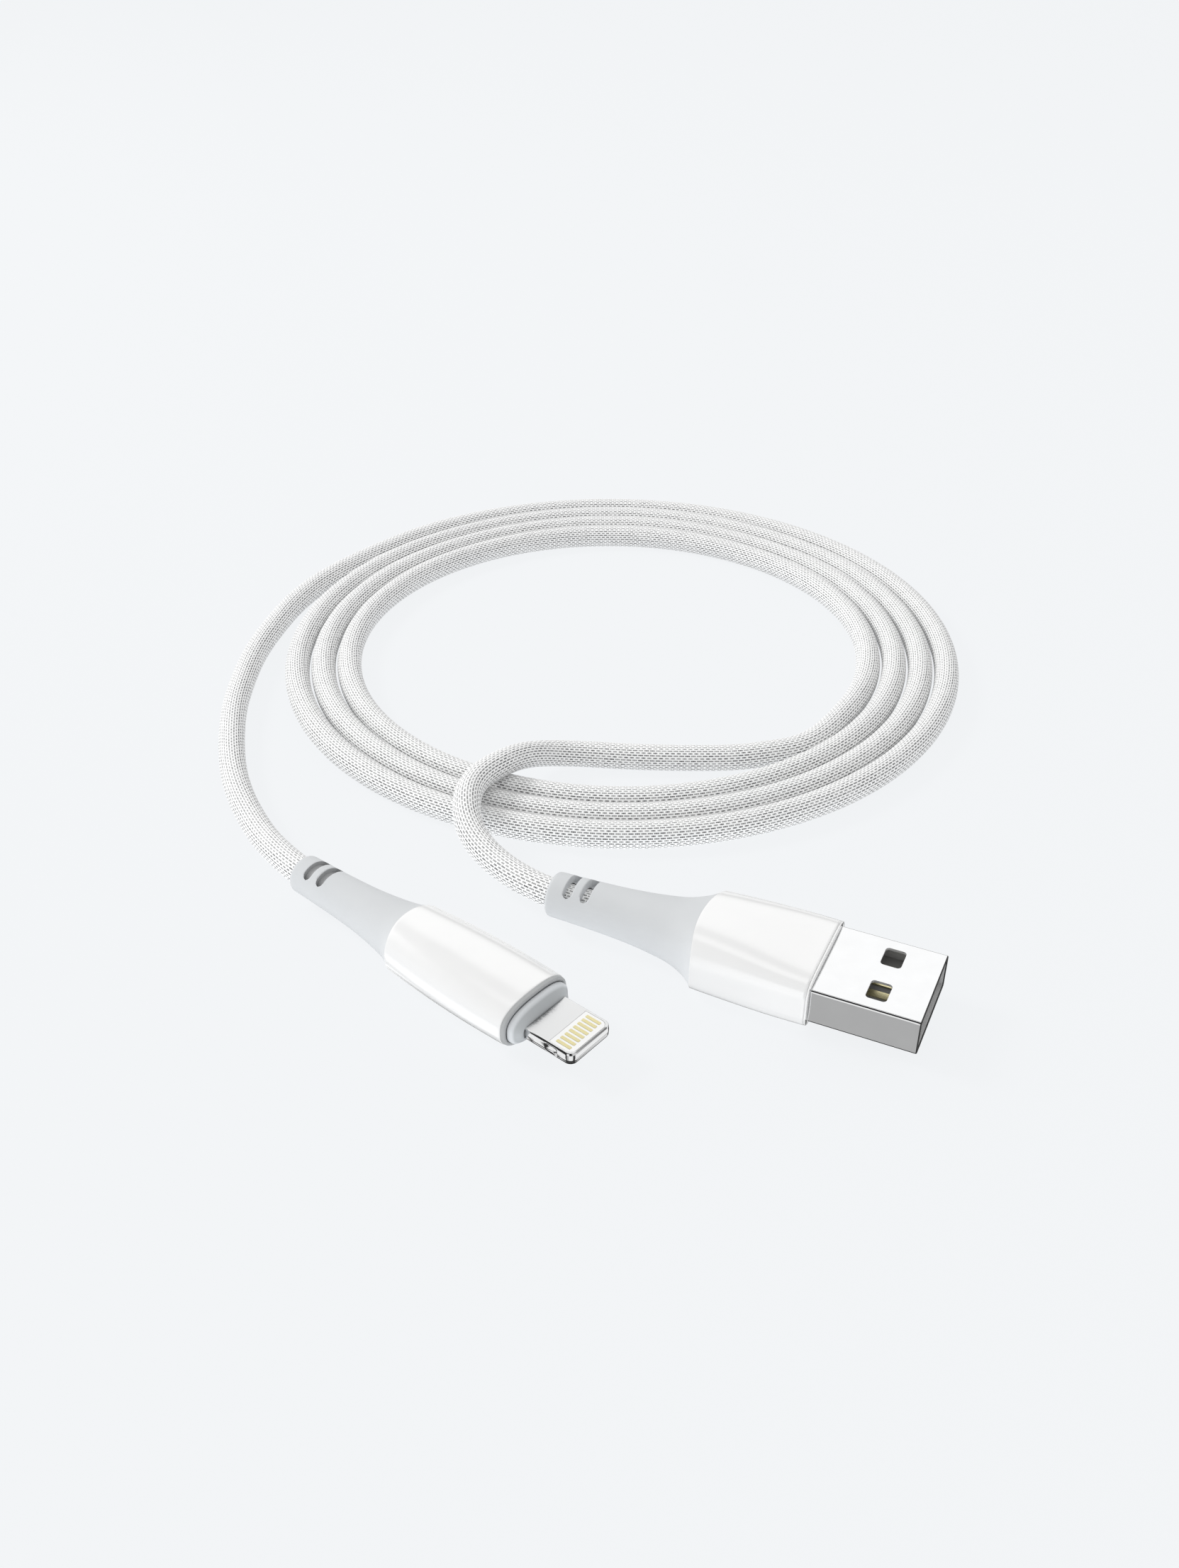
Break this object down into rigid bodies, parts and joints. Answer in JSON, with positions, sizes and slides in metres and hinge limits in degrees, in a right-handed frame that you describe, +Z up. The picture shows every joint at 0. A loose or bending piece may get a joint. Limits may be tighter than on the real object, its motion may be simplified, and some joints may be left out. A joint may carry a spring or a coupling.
{
  "type": "charging cable",
  "caption": "Charging cable: white braided cord in a flat coil, with a steel USB-A plug and a slim reversible phone plug.",
  "frame": {"origin": "middle of the two plugs' footprint, on the surface that the cable lies on", "axes": "+Z up from that surface; the plugs point along +X, and the coil lies towards +Y"},
  "size_m": [0.1092, 0.1428, 0.0078],
  "materials": {
    "cord_braid": "white woven yarn with fine grey flecks along the cord",
    "housing_white": "glossy moulded white",
    "relief_grey": "soft satin cool grey",
    "plug_steel": "bright nickel plate on sheet steel",
    "tongue_black": "moulded dark grey",
    "contact_gold": "gold plate",
    "tab_steel": "bright edges, satin faces",
    "insert_white": "smooth moulded white",
    "pin_gold": "pale gold plate",
    "collar_grey": "satin cool grey",
    "rim_grey": "satin mid grey",
    "inner_mould": "hidden potting, milky white",
    "crimp_metal": "rolled metal",
    "shield_steel": "rolled metal",
    "board_green": "green circuit board",
    "chip_black": "black package",
    "wire_red": "thin insulation",
    "wire_white": "thin insulation",
    "wire_green": "thin insulation",
    "wire_black": "thin insulation"
  },
  "bodies": {
    "root": {"usb_shell": "plug_steel", "usb_tongue": "tongue_black", "usb_contact_power": "contact_gold", "usb_contact_data_minus": "contact_gold", "usb_contact_data_plus": "contact_gold", "usb_contact_ground": "contact_gold", "usb_inner_mould": "inner_mould", "usb_housing": "housing_white", "usb_strain_relief": "relief_grey", "usb_crimp": "crimp_metal", "usb_wire_red": "wire_red", "usb_wire_white": "wire_white", "usb_wire_green": "wire_green", "usb_wire_black": "wire_black", "phone_tab": "tab_steel", "phone_insert": "insert_white", "phone_contacts_top": "pin_gold", "phone_contacts_bottom": "pin_gold", "phone_board": "board_green", "phone_chip": "chip_black", "phone_shield": "shield_steel", "phone_collar": "collar_grey", "phone_rim": "rim_grey", "phone_housing": "housing_white", "phone_inner_mould": "inner_mould", "phone_strain_relief": "relief_grey", "phone_crimp": "crimp_metal", "phone_wire_red": "wire_red", "phone_wire_white": "wire_white", "phone_wire_green": "wire_green", "phone_wire_black": "wire_black", "cord_coil": "cord_braid", "cord_usb_end": "cord_braid", "cord_phone_end": "cord_braid"}
  },
  "joints": []
}
